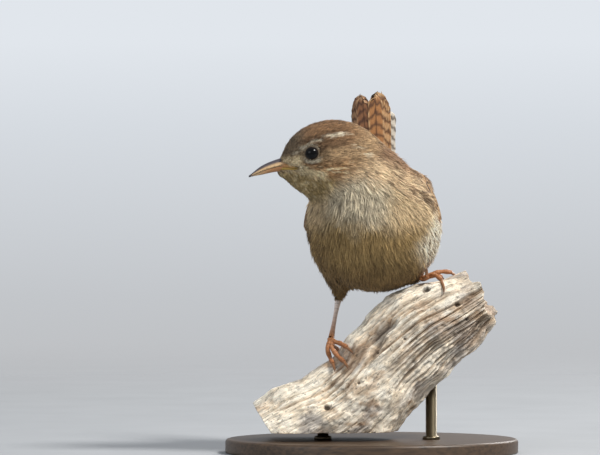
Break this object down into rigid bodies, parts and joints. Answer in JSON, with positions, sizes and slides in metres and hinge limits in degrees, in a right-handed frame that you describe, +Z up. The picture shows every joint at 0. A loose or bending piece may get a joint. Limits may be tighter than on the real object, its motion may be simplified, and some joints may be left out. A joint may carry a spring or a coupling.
{
  "type": "wren model",
  "caption": "Life-size standing wren with a cocked tail, gripping a short cut limb held by rods on an oval base.",
  "frame": {"origin": "centre of the stand's underside", "axes": "+Z up; the breast faces -Y, the head is turned to -X, and the tail stands at the back"},
  "size_m": [0.084, 0.0656, 0.1034],
  "materials": {
    "plumage": "soft body feathers, warm brown above, buff below",
    "flight_feathers": "rufous vanes with fine dark bars",
    "bill": "horn, slate ridge above and orange below",
    "eye": "wet, very dark brown",
    "shank": "scaly orange-brown skin",
    "claw": "pale brown horn",
    "dead_wood": "bleached, grooved and weathered",
    "stand_wood": "dark stained, satin",
    "stand_metal": "brushed"
  },
  "bodies": {
    "root": {"head": "plumage", "neck": "plumage", "torso": "plumage", "bill_upper": "bill", "bill_lower": "bill", "eye_left": "eye", "eye_right": "eye", "wing_left": "flight_feathers", "wing_right": "flight_feathers", "tail": "flight_feathers", "thigh_left": "plumage", "thigh_right": "plumage", "tarsus_left": "shank", "tarsus_right": "shank", "foot_left": "shank", "foot_right": "shank", "claw_left_1": "claw", "claw_left_2": "claw", "claw_left_3": "claw", "claw_left_4": "claw", "claw_right_1": "claw", "claw_right_2": "claw", "claw_right_3": "claw", "claw_right_4": "claw", "perch": "dead_wood", "stand_base": "stand_wood", "stand_rod_left": "stand_metal", "stand_rod_right": "stand_metal"}
  },
  "joints": []
}
